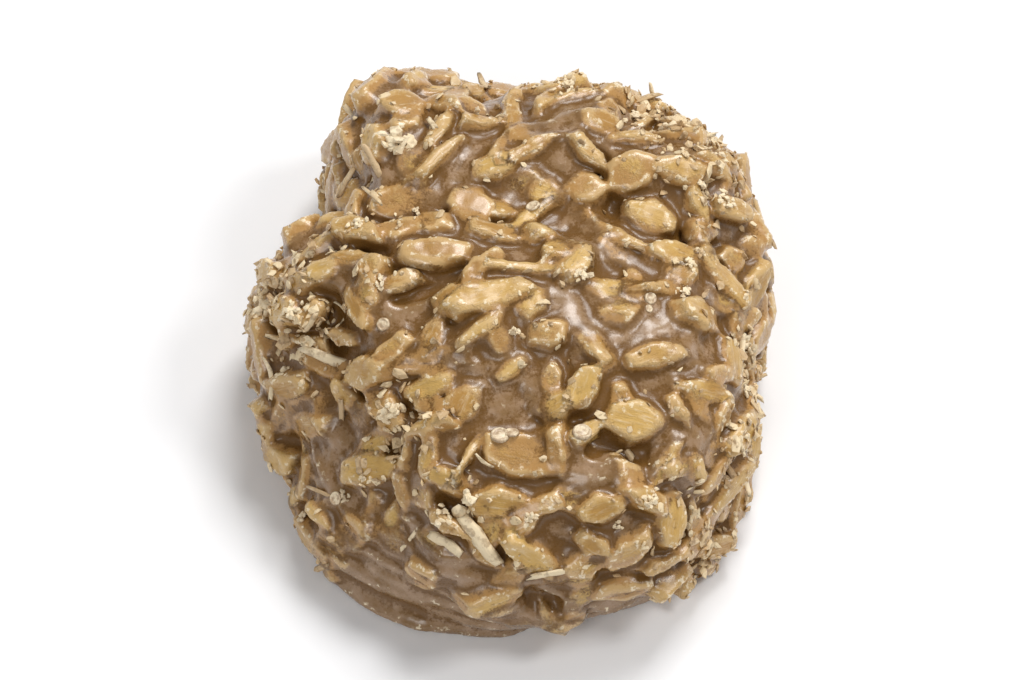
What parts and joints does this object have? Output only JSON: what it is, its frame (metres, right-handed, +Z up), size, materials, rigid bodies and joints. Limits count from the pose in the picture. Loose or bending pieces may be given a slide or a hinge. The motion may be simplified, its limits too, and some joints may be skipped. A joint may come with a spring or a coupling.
{
  "type": "chocolate coconut rock",
  "caption": "Craggy mound of milk chocolate with toasted coconut chips, a small sweet with a flat underside to rest on.",
  "frame": {"origin": "on the flat underside, below the middle of the bounding box", "axes": "+Z up from the sheet it set on; +Y along the longer side, away from the picture's camera; +X to the picture's right"},
  "size_m": [0.0384, 0.0434, 0.0199],
  "materials": {
    "chocolate": "satin milk chocolate over golden toasted coconut chips"
  },
  "bodies": {
    "root": {"rock": "chocolate"}
  },
  "joints": []
}
